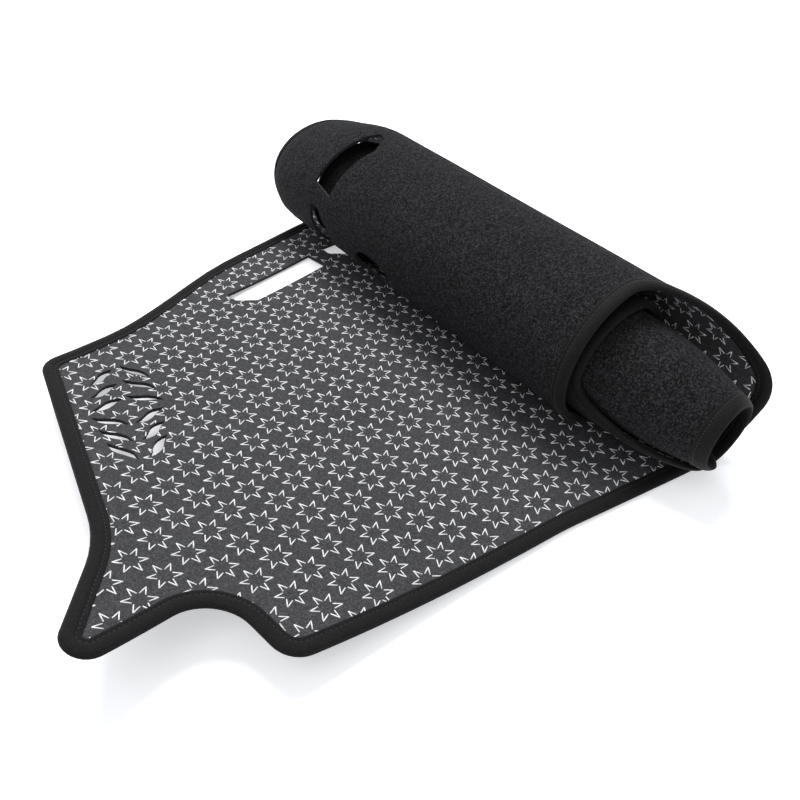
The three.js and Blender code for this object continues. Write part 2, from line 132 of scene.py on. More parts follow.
@dataclass
class BentMat:
    """Takes points of the flat mat to their place in the part's frame."""

    sheet: SheetSizes
    roll: RollSizes
    step: float = 0.5
    xs: np.ndarray = field(init=False)
    places: np.ndarray = field(init=False)
    normals: np.ndarray = field(init=False)
    angles: np.ndarray = field(init=False)

    def __post_init__(self) -> None:
        r, half = self.roll, self.sheet.thickness / 2
        xs, places, angles = [], [], []
        x, place = r.start_x, np.array([r.start_x, half])
        while x > r.tip_x - self.sheet.tape_reach:
            xs.append(x)
            places.append(place)
            angles.append(-90.0)
            run = max(0.0, (r.lift_start_x - x) / r.lift_length)
            slope = math.radians(r.lift_angle) * run**r.lift_power
            place = place + self.step * np.array([-math.cos(slope), math.sin(slope)])
            x -= self.step
        xs.reverse()
        places.reverse()
        along, angle = r.start_x, -90.0
        place, move = self.section(angle), np.array([1.0, 0.0])
        while along < r.end_x + self.sheet.tape_reach:
            angle += self.step
            if along <= r.end_x - r.end_straight:
                move = self.section(angle) - place
            place = place + move
            along += float(np.linalg.norm(move))
            xs.append(along)
            places.append(place)
            angles.append(angle)
        self.xs = np.array(xs)
        self.places = np.array(places)
        self.angles = np.array(angles)
        direction = np.gradient(self.places, self.xs, axis=0)
        direction /= np.linalg.norm(direction, axis=1)[:, None]
        self.normals = np.c_[-direction[:, 1], direction[:, 0]]

    def section(self, angle: float) -> np.ndarray:
        """Gives the roll's middle surface at an angle that counts on through the turns.

        Args:
            angle: Degrees, from -90 at the foot of the first turn.

        Returns:
            The place across and up.
        """
        r = self.roll
        first, second, third = (
            float(smooth((angle - r.step_from - 360.0 * k) / r.step_span)) for k in range(3)
        )
        radius = r.radius - r.first_step * first - r.next_step * (second + third)
        height = self.sheet.thickness / 2 + r.radius - r.first_sink * first
        a = math.radians(angle)
        return np.array([r.start_x + radius * math.cos(a), height + radius * math.sin(a)])

    def turn_in(self, x: np.ndarray, y: np.ndarray, height: np.ndarray) -> tuple[np.ndarray, np.ndarray]:
        """Curls the far edge of the roll inwards: an even arc, and then straight on.

        Args:
            x: Places along the flat mat.
            y: Places across it.
            height: Heights above its middle surface.

        Returns:
            The new places across and heights.
        """
        r = self.roll
        share = smooth((x - r.turn_in_start_x) / r.turn_in_blend)
        full = math.radians(r.turn_in_angle)
        radius = r.turn_in_span / full
        run = np.clip(y - r.turn_in_from_y, 0.0, r.turn_in_span)
        beyond = np.maximum(0.0, y - r.turn_in_from_y - r.turn_in_span)
        lean = run / radius
        inward = radius * (1.0 - np.cos(lean)) + beyond * math.sin(full)
        back = run + beyond - radius * np.sin(lean) - beyond * math.cos(full)
        across = y - share * back - height * np.sin(lean * share)
        return across, share * inward + height * np.cos(lean * share)

    def bend(self, points: np.ndarray) -> np.ndarray:
        """Bends flat points.

        Args:
            points: Rows of x, y and height above the middle surface, in millimetres.

        Returns:
            Rows of places in metres in the part's frame.
        """
        x, flat_y, flat_height = points.T
        r = self.roll
        y, height = self.turn_in(x, flat_y, flat_height)
        place = [np.interp(x, self.xs, values) for values in self.places.T]
        normal = [np.interp(x, self.xs, values) for values in self.normals.T]
        across, up = (place[axis] + height * normal[axis] for axis in (0, 1))
        rolled = x > r.start_x
        sag = smooth((flat_y - r.sag_from_y) / r.sag_length)
        up = np.where(rolled, up - r.sag_depth * sag * (up / r.sag_height) ** 2, up)
        near = np.maximum(0.0, (r.taper_from_y - flat_y) / r.taper_length) ** 2
        share = np.where(rolled, r.taper_share * near * smooth((x - r.taper_start_x) / r.taper_blend), 0.0)
        across += (r.start_x - across) * share
        up += (r.taper_centre_z - up) * share
        s = self.sheet
        return np.c_[across + s.shift_x, y + s.shift_y, up + s.shift_z] * MM


def rounded(corners: list[tuple[float, float, float]], arc_step: float = 6.0) -> Loop:
    """Makes a closed outline with rounded corners.

    Args:
        corners: x, y and radius of each corner.
        arc_step: Degrees between points on an arc.

    Returns:
        The outline's points.
    """
    out: Loop = []
    for i, (x, y, radius) in enumerate(corners):
        corner = Vector((x, y))
        back = (Vector(corners[i - 1][:2]) - corner).normalized()
        on = (Vector(corners[(i + 1) % len(corners)][:2]) - corner).normalized()
        half = back.angle(on) / 2
        centre = corner + (back + on).normalized() * (radius / math.sin(half))
        start = corner + back * (radius / math.tan(half)) - centre
        stop = corner + on * (radius / math.tan(half)) - centre
        sweep = math.atan2(start.x * stop.y - start.y * stop.x, start.dot(stop))
        steps = max(2, math.ceil(abs(math.degrees(sweep)) / arc_step))
        for k in range(steps + 1):
            a = sweep * k / steps
            out.append(tuple(centre + Matrix.Rotation(a, 2) @ start))
    return out


@dataclass(frozen=True)
class SlotSizes:
    """An air slot: a slanted strip with one cut corner."""

    x: float
    y: float
    slope: float
    length: float = 112.0
    width: float = 27.0
    cut_length: float = 17.0
    cut_width: float = 14.0

    def loop(self) -> Loop:
        """Returns the slot's corners."""
        shape = [
            (self.cut_length, 0.0),
            (self.length, 0.0),
            (self.length, self.width),
            (0.0, self.width),
            (0.0, self.cut_width),
        ]
        return turned(shape, self.x, self.y, self.slope)


@dataclass(frozen=True)
class SlitFan:
    """A short column of leaf-shaped speaker slits that lean a little more from one to the next."""

    x: float
    y: float
    angle: float
    turn: float
    shift: float
    rows: int = 3
    pitch: float = 19.0
    length: float = 31.0
    half_width: float = 3.7
    swing: float = 1.3
    steps: int = 7
    station: float = 1.0

    def loops(self) -> list[Loop]:
        """Returns one closed loop for each slit."""
        made = []
        for row in range(self.rows):
            near, far = [], []
            for k in range(self.steps + 1):
                u = 2 * k / self.steps - 1
                swing = self.swing * math.sin(math.pi * u)
                half = self.half_width * math.cos(math.pi * u / 2)
                near.append((u * self.length / 2, swing - half))
                if 0 < k < self.steps:
                    far.insert(0, (u * self.length / 2, swing + half))
            x, y = self.x + self.shift * row, self.y - self.pitch * row
            loop = turned(near + far, x, y, self.angle + self.turn * row)
            made.append([(round(u / self.station) * self.station, v) for u, v in loop])
        return made


def turned(points: Loop, x: float, y: float, angle: float) -> Loop:
    """Turns points about the origin and moves them.

    Args:
        points: Flat points.
        x: Move along the mat.
        y: Move across the mat.
        angle: Turn in degrees.

    Returns:
        The moved points.
    """
    c, s = math.cos(math.radians(angle)), math.sin(math.radians(angle))
    return [(c * u - s * v + x, s * u + c * v + y) for u, v in points]


@dataclass(frozen=True)
class SensorOpening:
    """The oval opening for the light sensor."""

    x: float = 523.0
    y: float = 150.0
    half_width: float = 17.0
    half_depth: float = 29.0
    points: int = 32

    def loop(self) -> Loop:
        """Returns the opening's points."""
        angles = np.linspace(0, 2 * math.pi, self.points, endpoint=False)
        width, depth = self.half_width, self.half_depth
        return [(self.x + width * math.cos(a), self.y + depth * math.sin(a)) for a in angles]


@dataclass(frozen=True)
class SlowWave:
    """The slight unevenness of a soft sheet, level along its edge."""

    height: float = 0.45
    pitch: float = 0.011
    seed: float = 2.7
    level_edge: float = 8.0
    blend: float = 25.0
    outline_step: int = 3

    def heights(self, outline: Loop, points: np.ndarray) -> np.ndarray:
        """Gives the unevenness at flat points.

        Args:
            outline: The sheet's cut.
            points: Flat points.

        Returns:
            One height for each point.
        """
        waves = [noise.noise(Vector((x * self.pitch, y * self.pitch, self.seed))) for x, y in points]
        border = edge_distance(np.array(outline)[:: self.outline_step], points)
        return np.array(waves) * self.height * smooth((border - self.level_edge) / self.blend)


@dataclass
class FlatPattern:
    """The mat's cut: outline, air slots, speaker slits and sensor opening."""

    sheet: SheetSizes
    outline: Loop = field(init=False)
    openings: list[Loop] = field(init=False)

    def __post_init__(self) -> None:
        gentle = 300.0
        self.outline = rounded([
            (-308, -103, self.sheet.corner_least),
            (-187, -77, 34),
            (-177, -149, 20),
            (60, -167, gentle),
            (290, -204, 40),
            (382, -101, 40),
            (846, -101, 20),
            (892, -203, 24),
            (1215, -212, 30),
            (1215, 262, 30),
            (690, 262, 90),
            (570, 344, 90),
            (154, 323, gentle),
            (20, 297, gentle),
            (-106, 234, gentle),
            (-192, 205, 24),
            (-236, -8, 110),
        ])
        self.openings = [
            SlotSizes(10, 216, 9.5).loop(),
            SlotSizes(137, 238, 2).loop(),
            SlotSizes(396, 200, 15, length=82).loop(),
            SlotSizes(494, 222, 3, length=80).loop(),
            SensorOpening().loop(),
        ]
        for fan in (
            SlitFan(-157, 169, 31, -9, -5.5),
            SlitFan(-175, 110, -39, -13, -3.5),
            SlitFan(-128, 167, -61, 13, -4.5),
            SlitFan(-144, 106, 19, 10, -5.5),
        ):
            self.openings += fan.loops()

    def area(self) -> float:
        """Returns the cut's area in square metres."""
        def one(loop: Loop) -> float:
            p = np.array(loop)
            q = np.roll(p, -1, axis=0)
            return abs(float((p[:, 0] * q[:, 1] - p[:, 1] * q[:, 0]).sum()) / 2)

        return (one(self.outline) - sum(one(loop) for loop in self.openings)) * MM * MM

    def size(self) -> tuple[float, float]:
        """Returns the cut's width and length in metres."""
        p = np.array(self.outline)
        span = p.max(axis=0) - p.min(axis=0)
        return float(span[1]) * MM, float(span[0]) * MM


def split_at(loop: Loop, stations: list[float]) -> Loop:
    """Adds a point wherever a closed loop crosses a station.

    Args:
        loop: Closed loop.
        stations: Sorted values of x.

    Returns:
        The finer loop.
    """
    out = []
    for i, (ax, ay) in enumerate(loop):
        bx, by = loop[(i + 1) % len(loop)]
        out.append((ax, ay))
        low, high = min(ax, bx) + SAME_POINT, max(ax, bx) - SAME_POINT
        crossed = stations[bisect.bisect_right(stations, low) : bisect.bisect_left(stations, high)]
        for x in crossed if bx > ax else reversed(crossed):
            out.append((x, ay + (by - ay) * (x - ax) / (bx - ax)))
    return out


def inside(loop: np.ndarray, points: np.ndarray) -> np.ndarray:
    """Tells which points lie inside a closed loop.

    Args:
        loop: Corners of the loop.
        points: Flat points.

    Returns:
        One truth value for each point.
    """
    a, b = loop, np.roll(loop, -1, axis=0)
    x, y = points[:, 0, None], points[:, 1, None]
    crosses = (a[None, :, 1] > y) != (b[None, :, 1] > y)
    with np.errstate(divide="ignore", invalid="ignore"):
        at = a[None, :, 0] + (y - a[None, :, 1]) * (b[:, 0] - a[:, 0])[None] / (b[:, 1] - a[:, 1])[None]
    return (crosses & (x < at)).sum(axis=1) % 2 == 1


def edge_distance(loop: np.ndarray, points: np.ndarray) -> np.ndarray:
    """Measures how far points are from a closed loop.

    Args:
        loop: Corners of the loop.
        points: Flat points.

    Returns:
        One distance for each point.
    """
    a, b = loop, np.roll(loop, -1, axis=0)
    d = b - a
    length = np.maximum((d * d).sum(axis=1), SHORTEST_SQUARE)
    w = points[:, None, :] - a[None]
    t = np.clip((w * d[None]).sum(axis=2) / length[None], 0, 1)
    return np.linalg.norm(w - t[..., None] * d[None], axis=2).min(axis=1)


def make_object(
    name: str,
    vertices: np.ndarray,
    faces: list[tuple[int, ...]],
    materials: list[bpy.types.Material],
    indices: list[int] | None = None,
) -> bpy.types.Object:
    """Makes a mesh object that rides on the part.

    Args:
        name: Piece name.
        vertices: Places in metres.
        faces: Corner lists.
        materials: Material slots.
        indices: Slot of each face.

    Returns:
        The object.
    """
    mesh = bpy.data.meshes.new(name)
    mesh.from_pydata([tuple(v) for v in vertices], [], faces)
    for material in materials:
        mesh.materials.append(material)
    if indices is not None:
        mesh.polygons.foreach_set("material_index", indices)
    mesh.polygons.foreach_set("use_smooth", [True] * len(faces))
    mesh.update()
    piece = bpy.data.objects.new(name, mesh)
    bpy.context.scene.collection.objects.link(piece)
    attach(piece, "root")
    return piece


@dataclass
class SheetBuilder:
    """Meshes the sheet finely, with its openings."""

    pattern: FlatPattern
    bent: BentMat
    flat_station: float = 7.0
    roll_station: float = 3.0
    row: float = 12.0
    wave: SlowWave = SlowWave()

    def stations(self) -> list[float]:
        """Returns the places along the mat where it is cut into strips."""
        r = self.bent.roll
        loops = [self.pattern.outline, *self.pattern.openings]
        found = [x for loop in loops for x, _ in loop]
        found += list(np.arange(r.tip_x, r.start_x, self.flat_station)) + [r.start_x]
        angle = -90.0
        for x, a in zip(self.bent.xs, self.bent.angles):
            if x < r.end_x and a - angle >= self.roll_station:
                angle = a
                found.append(float(x))
        found.sort()
        return [x for i, x in enumerate(found) if i == 0 or x - found[i - 1] > SAME_POINT]

    def build(self, materials: list[bpy.types.Material]) -> bpy.types.Object:
        """Makes the sheet.

        Args:
            materials: Felt, backing and cut edge.

        Returns:
            The sheet's object.
        """
        stations = self.stations()
        columns: list[list[float]] = [[] for _ in stations]
        strips: list[Loop] = [[] for _ in stations]

        def station_of(x: float) -> int:
            k = bisect.bisect_left(stations, x)
            near = [j for j in (k - 1, k, k + 1) if 0 <= j < len(stations)]
            return min(near, key=lambda j: abs(stations[j] - x))

        for loop in [self.pattern.outline, *self.pattern.openings]:
            cut = split_at(loop, stations)
            for i, (ax, ay) in enumerate(cut):
                bx, by = cut[(i + 1) % len(cut)]
                ka, kb = station_of(ax), station_of(bx)
                if all(abs(y - ay) >= SAME_POINT for y in columns[ka]):
                    columns[ka].append(ay)
                if kb > ka:
                    strips[ka].append((ay, by))
                if kb < ka:
                    strips[kb].append((by, ay))
        rows = np.arange(-300, 330, self.row)
        for column in columns:
            fixed = list(column)
            column += [float(y) for y in rows if all(abs(y - other) > self.row * 0.3 for other in fixed)]
            column.sort()
        index: dict[tuple[int, int], int] = {}
        flat: Loop = []

        def vertex(k: int, y: float) -> int:
            column = columns[k]
            j = min(range(len(column)), key=lambda m: abs(column[m] - y))
            if (k, j) not in index:
                index[(k, j)] = len(flat)
                flat.append((stations[k], column[j]))
            return index[(k, j)]

        tops: list[tuple[int, int, int]] = []
        for k, edges in enumerate(strips):
            edges.sort(key=lambda e: e[0] + e[1])
            for (l0, r0), (l1, r1) in zip(edges[::2], edges[1::2]):
                left = [vertex(k, y) for y in columns[k] if l0 - SAME_POINT < y < l1 + SAME_POINT]
                right = [vertex(k + 1, y) for y in columns[k + 1] if r0 - SAME_POINT < y < r1 + SAME_POINT]
                a = b = 0
                while a < len(left) - 1 or b < len(right) - 1:
                    on_right = a == len(left) - 1 or (
                        b < len(right) - 1 and flat[right[b + 1]][1] <= flat[left[a + 1]][1]
                    )
                    if on_right:
                        tops.append((left[a], right[b], right[b + 1]))
                        b += 1
                    else:
                        tops.append((left[a], right[b], left[a + 1]))
                        a += 1
        n = len(flat)
        half = self.bent.sheet.thickness / 2
        xy = np.array(flat)
        wave = self.wave.heights(self.pattern.outline, xy)
        upper = self.bent.bend(np.c_[xy, half + wave])
        lower = self.bent.bend(np.c_[xy, -half + wave])
        faces: list[tuple[int, ...]] = []
        slots: list[int] = []
        directed = {(a, b) for t in tops for a, b in zip(t, t[1:] + t[:1])}
        for t in tops:
            faces += [t, tuple(n + v for v in reversed(t))]
            slots += [Face.BACKING, Face.FELT]
            for a, b in zip(t, t[1:] + t[:1]):
                if (b, a) not in directed:
                    faces.append((b, a, n + a, n + b))
                    slots.append(Face.CUT_EDGE)
        piece = make_object("felt_sheet", np.r_[upper, lower], faces, materials, [int(s) for s in slots])
        mesh = piece.data
        rim = {frozenset(f[i : i + 2]) for f, s in zip(faces, slots) if s == Face.CUT_EDGE for i in (0, 2)}
        sharp = [frozenset(e.vertices) in rim for e in mesh.edges]
        attribute = mesh.attributes.new("sharp_edge", "BOOLEAN", "EDGE")
        attribute.data.foreach_set("value", sharp)
        layer = mesh.uv_layers.new(name="flat")
        both = np.r_[xy, xy] * MM
        corner = np.empty(len(mesh.loops), dtype=int)
        mesh.loops.foreach_get("vertex_index", corner)
        layer.data.foreach_set("uv", both[corner].ravel())
        return piece


@dataclass
class TapeBuilder:
    """Sweeps the folded edge tape round the outline, and sews it."""

    pattern: FlatPattern
    bent: BentMat
    puff: float = 0.12
    stitch_inset: float = 8.1
    stitch_pitch: float = 3.6
    stitch_length: float = 2.5
    stitch_width: float = 0.75

    def path(self) -> tuple[np.ndarray, np.ndarray]:
        """Returns evenly spaced points on the outline and their inward directions."""
        loop = np.array(self.pattern.outline)
        keep = np.linalg.norm(np.roll(loop, -1, axis=0) - loop, axis=1) > SHORTEST_EDGE
        loop = loop[keep]
        closed = np.r_[loop, loop[:1]]
        run = np.r_[0, np.cumsum(np.linalg.norm(np.diff(closed, axis=0), axis=1))]
        count = int(run[-1] / 3.0)
        at = np.linspace(0, run[-1], count, endpoint=False)
        points = np.c_[np.interp(at, run, closed[:, 0]), np.interp(at, run, closed[:, 1])]
        ahead, behind = np.roll(points, -1, axis=0), np.roll(points, 1, axis=0)
        along = ahead - behind
        along /= np.linalg.norm(along, axis=1)[:, None]
        return points, np.c_[-along[:, 1], along[:, 0]]

    def section(self) -> Loop:
        """Returns the tape's cross-section: reach inwards from the edge, then height."""
        top = self.bent.sheet.thickness / 2
        outer = [
            (11.5, top + 0.25), (11.2, top + 0.85), (10.0, top + 1.05), (8.8, top + 0.9), (8.1, top + 0.45),
            (7.4, top + 1.0), (6.2, top + 1.6), (4.6, top + 1.85), (2.8, top + 1.8), (1.0, top + 1.35),
            (-0.4, top + 0.6), (-1.3, top - 0.5), (-1.65, 0.0),
        ]
        under = [(r, -h) for r, h in reversed(outer[:-1])]
        inner = [(11.4, -top - 0.05), (-0.15, -top - 0.05), (-0.15, top + 0.05), (11.4, top + 0.05)]
        return outer + under + inner

    def build(self, tape: bpy.types.Material) -> bpy.types.Object:
        """Makes the tape.

        Args:
            tape: Its material.

        Returns:
            The tape's object.
        """
        points, inwards = self.path()
        section = self.section()
        count, around = len(points), len(section)
        slow = [noise.noise(Vector((i * 0.21, 3.3, 0.4))) for i in range(count)]
        quick = [noise.noise(Vector((i * 0.9, 8.1, 0.2))) for i in range(count)]
        bulge = np.array(slow) + 0.6 * np.array(quick)
        flat = np.empty((count, around, 3))
        for j, (reach, height) in enumerate(section):
            soft = 1.0 if 0.2 < abs(height) - self.bent.sheet.thickness / 2 and j < around - 4 else 0.0
            flat[:, j, :2] = points + inwards * reach
            flat[:, j, 2] = height + math.copysign(self.puff, height) * bulge * soft
        places = self.bent.bend(flat.reshape(-1, 3))
        faces = []
        for i in range(count):
            here, there = i * around, ((i + 1) % count) * around
            for j in range(around):
                k = (j + 1) % around
                faces.append((here + j, here + k, there + k, there + j))
        piece = make_object("bound_edge", places, faces, [tape])
        layer = piece.data.uv_layers.new(name="flat")
        run = np.repeat(np.arange(count) * 3.0 * MM, around)
        reach = np.tile(np.array([s[0] for s in section]) * MM, count)
        uv = np.c_[run, reach]
        corner = np.empty(len(piece.data.loops), dtype=int)
        piece.data.loops.foreach_get("vertex_index", corner)
        layer.data.foreach_set("uv", uv[corner].ravel())
        return piece

    def stitches(self, thread: bpy.types.Material) -> bpy.types.Object:
        """Makes the row of stitches on both faces of the tape.

        Args:
            thread: Its material.

        Returns:
            One object with every stitch.
        """
        points, inwards = self.path()
        line = points + inwards * self.stitch_inset
        closed = np.r_[line, line[:1]]
        run = np.r_[0, np.cumsum(np.linalg.norm(np.diff(closed, axis=0), axis=1))]
        normal = np.r_[inwards, inwards[:1]]
        count = int(run[-1] / self.stitch_pitch)
        base = self.bent.sheet.thickness / 2 + 0.62
        profile = [(-0.5, 0.35), (-0.2, 1.0), (0.2, 1.0), (0.5, 0.35)]
        around = 5
        cells, faces = [], []
        for side in (1, -1):
            for i in range(count):
                middle = (i + 0.5 * (side < 0)) * run[-1] / count
                start = len(cells)
                for step, share in profile:
                    at = middle + step * self.stitch_length
                    x, y = (float(np.interp(at, run, closed[:, c])) for c in (0, 1))
                    nx, ny = (float(np.interp(at, run, normal[:, c])) for c in (0, 1))
                    for a in range(around):
                        turn = 2 * math.pi * a / around
                        w = math.cos(turn) * share * self.stitch_width / 2
                        h = math.sin(turn) * share * self.stitch_width * 0.45
                        cells.append((x + nx * w, y + ny * w, side * (base + h - 0.25 * (share < 0.5))))
                for ring in range(len(profile) - 1):
                    for a in range(around):
                        b = (a + 1) % around
                        p, q = start + ring * around, start + (ring + 1) * around
                        quad = (p + a, p + b, q + b, q + a)
                        faces.append(quad if side > 0 else quad[::-1])
                last = start + (len(profile) - 1) * around
                first_cap = tuple(start + a for a in reversed(range(around)))
                last_cap = tuple(last + a for a in range(around))
                faces += [f if side > 0 else f[::-1] for f in (first_cap, last_cap)]
        return make_object("tape_stitches", self.bent.bend(np.array(cells)), faces, [thread])


@dataclass
class GripPrint:
    """The raised grip print on the backing: six-pointed stars of separate strokes on an even lattice."""

    pattern: FlatPattern
    bent: BentMat
    origin: tuple[float, float] = (-124.8, -93.7)
    step_u: tuple[float, float] = (13.66, -20.94)
    step_v: tuple[float, float] = (23.07, 12.13)
    tip_radius: float = 11.6
    tip_angle: float = 45.0
    inner_reach: float = 5.2
    inner_half: float = 2.0
    stroke: float = 0.85
    relief: float = 0.35
    cuts: int = 4
    lattice_reach: int = 60
    wave: SlowWave = SlowWave()

    def limbs(self) -> np.ndarray:
        """Returns the two ends of every stroke of one star."""
        made = []
        for k in range(6):
            for side in (1, -1):
                tip = (self.tip_radius, 0.0)
                end = (self.inner_reach, side * self.inner_half)
                made.append(turned([tip, end], 0.0, 0.0, self.tip_angle + 60 * k))
        return np.array(made)

    def build(self, ink: bpy.types.Material) -> bpy.types.Object:
        """Makes the print.

        Args:
            ink: Its material.

        Returns:
            One object with every stroke.
        """
        outline = np.array(self.pattern.outline)
        low, high = outline.min(axis=0), outline.max(axis=0)
        basis = np.array([self.step_u, self.step_v])
        steps = range(-self.lattice_reach, self.lattice_reach + 1)
        origin = np.array(self.origin)
        centres = np.array([origin + i * basis[0] + j * basis[1] for i in steps for j in steps])
        near = ((centres > low - 12) & (centres < high + 12)).all(axis=1)
        centres = centres[near]
        limbs = self.limbs()
        ends = (centres[:, None, None, :] + limbs[None]).reshape(-1, 2, 2)
        cut = np.linspace(0, 1, self.cuts + 1)
        line = ends[:, 0, None] + (ends[:, 1] - ends[:, 0])[:, None] * cut[None, :, None]
        flatline = line.reshape(-1, 2)
        ok = inside(outline, flatline)
        reach = self.bent.sheet.tape_reach
        ok[ok] = edge_distance(outline[::2], flatline[ok]) > reach - 2.5
        for loop in self.pattern.openings:
            ring = np.array(loop)
            ok &= ~inside(ring, flatline)
        ok = ok.reshape(line.shape[:2])
        direction = ends[:, 1] - ends[:, 0]
        direction /= np.linalg.norm(direction, axis=1)[:, None]
        across = np.c_[-direction[:, 1], direction[:, 0]] * self.stroke / 2
        base = self.bent.sheet.thickness / 2
        cells: list[tuple[float, float, float]] = []
        faces: list[tuple[int, ...]] = []
        for m in range(len(line)):
            good = ok[m]
            run: list[int] = []
            for c in range(self.cuts + 2):
                if c <= self.cuts and good[c]:
                    run.append(c)
                    continue
                if len(run) > 1:
                    self.stroke_cells(cells, faces, line[m, run[0]], line[m, run[-1]], across[m], base)
                run = []
        log.info("print: %d stars near the mat, %d faces", len(centres), len(faces))
        flat = np.array(cells)
        flat[:, 2] += self.wave.heights(self.pattern.outline, flat[:, :2])
        return make_object("grip_print", self.bent.bend(flat), faces, [ink])

    def stroke_cells(
        self,
        cells: list[tuple[float, float, float]],
        faces: list[tuple[int, ...]],
        start: np.ndarray,
        stop: np.ndarray,
        across: np.ndarray,
        base: float,
    ) -> None:
        """Adds one stroke as a low ridge.

        Args:
            cells: Vertices so far.
            faces: Faces so far.
            start: One end.
            stop: The other end.
            across: Half its width, sideways.
            base: Height of the backing.
        """
        n = len(cells)
        for point in (start, stop):
            cells.append((*(point - across), base + 0.02))
            cells.append((*(point - across * 0.45), base + self.relief))
            cells.append((*(point + across * 0.45), base + self.relief))
            cells.append((*(point + across), base + 0.02))
        faces.append((n, n + 4, n + 5, n + 1))
        faces.append((n + 1, n + 5, n + 6, n + 2))
        faces.append((n + 2, n + 6, n + 7, n + 3))
        faces.append((n, n + 1, n + 2, n + 3))
        faces.append((n + 7, n + 6, n + 5, n + 4))


class Nodes:
    """A material or group node tree with short calls to fill it."""

    def __init__(self, tree: bpy.types.NodeTree) -> None:
        self.tree = tree

    def add(
        self, kind: str, inputs: dict[str | int, object] | None = None, **settings: object
    ) -> bpy.types.Node:
        """Adds a node.

        Args:
            kind: Node type.
            inputs: Value or output socket for each named or numbered input.
            settings: Other properties of the node.

        Returns:
            The node.
        """
        node = self.tree.nodes.new(kind)
        for name, value in settings.items():
            setattr(node, name, value)
        for name, value in (inputs or {}).items():
            if isinstance(value, bpy.types.NodeSocket):
                self.tree.links.new(value, node.inputs[name])
            else:
                node.inputs[name].default_value = value
        return node


def start_material(name: str) -> tuple[bpy.types.Material, Nodes]:
    """Starts a material with an empty node tree.

    Args:
        name: Name of the material.

    Returns:
        The material and its node helper.
    """
    material = bpy.data.materials.new(name)
    material.use_nodes = True
    nodes = Nodes(material.node_tree)
    nodes.tree.nodes.clear()
    return material, nodes


def effect(
    name: str, inputs: list[tuple[str, str, object]], outputs: list[tuple[str, str]]
) -> tuple[bpy.types.NodeTree, Nodes, bpy.types.Node, bpy.types.Node]:
    """Starts a shared effect as a node group.

    Args:
        name: Name of the group.
        inputs: Name, socket type and default of each input.
        outputs: Name and socket type of each output.

    Returns:
        The group, its node helper, its input node and its output node.
    """
    group = bpy.data.node_groups.new(name, "ShaderNodeTree")
    for label, kind, default in inputs:
        group.interface.new_socket(label, in_out="INPUT", socket_type=kind).default_value = default
    for label, kind in outputs:
        group.interface.new_socket(label, in_out="OUTPUT", socket_type=kind)
    nodes = Nodes(group)
    return group, nodes, nodes.add("NodeGroupInput"), nodes.add("NodeGroupOutput")


def fibre_group() -> bpy.types.NodeTree:
    """Makes the short matted fibre of felt: a fine speckle with slow clouding, and its relief."""
    group, n, inp, out = effect(
        "matted_fibre",
        [
            ("Scale", "NodeSocketFloat", 900.0),
            ("Strength", "NodeSocketFloat", 0.5),
            ("Seed", "NodeSocketFloat", 0.0),
        ],
        [("Speckle", "NodeSocketFloat"), ("Cloud", "NodeSocketFloat"), ("Normal", "NodeSocketVector")],
    )
    place = n.add("ShaderNodeTexCoord").outputs["Object"]
    offset = n.add("ShaderNodeVectorMath", {0: place, 1: inp.outputs["Seed"]}, operation="ADD").outputs[0]
    scale = inp.outputs["Scale"]
    fine = n.add("ShaderNodeTexNoise", {"Vector": offset, "Scale": scale, "Detail": 3.0, "Roughness": 0.72})
    half = n.add("ShaderNodeMath", {0: scale, 1: 0.31}, operation="MULTIPLY").outputs[0]
    tuft = n.add("ShaderNodeTexNoise", {"Vector": offset, "Scale": half, "Detail": 2.0, "Distortion": 0.6})
    cloud = n.add("ShaderNodeTexNoise", {"Vector": offset, "Scale": 14.0, "Detail": 3.0})
    grain = n.add("ShaderNodeTexVoronoi", {"Vector": offset, "Scale": scale, "Randomness": 1.0})
    tips = n.add("ShaderNodeSeparateColor", {0: grain.outputs["Color"]}).outputs[0]
    tips = n.add("ShaderNodeMath", {0: tips, 1: 2.2}, operation="POWER").outputs[0]
    both = {0: fine.outputs["Fac"], 1: tuft.outputs["Fac"]}
    mixed = n.add("ShaderNodeMath", both, operation="ADD").outputs[0]
    clump = n.add("ShaderNodeMapRange", {"Value": mixed, "From Min": 0.72, "From Max": 1.28}).outputs[0]
    speckle = n.add("ShaderNodeMix", {0: 0.8, 2: clump, 3: tips}, data_type="FLOAT").outputs[0]
    strength = inp.outputs["Strength"]
    bump = n.add("ShaderNodeBump", {"Height": mixed, "Strength": strength, "Distance": 0.0009})
    n.tree.links.new(speckle, out.inputs["Speckle"])
    n.tree.links.new(cloud.outputs["Fac"], out.inputs["Cloud"])
    n.tree.links.new(bump.outputs["Normal"], out.inputs["Normal"])
    return group


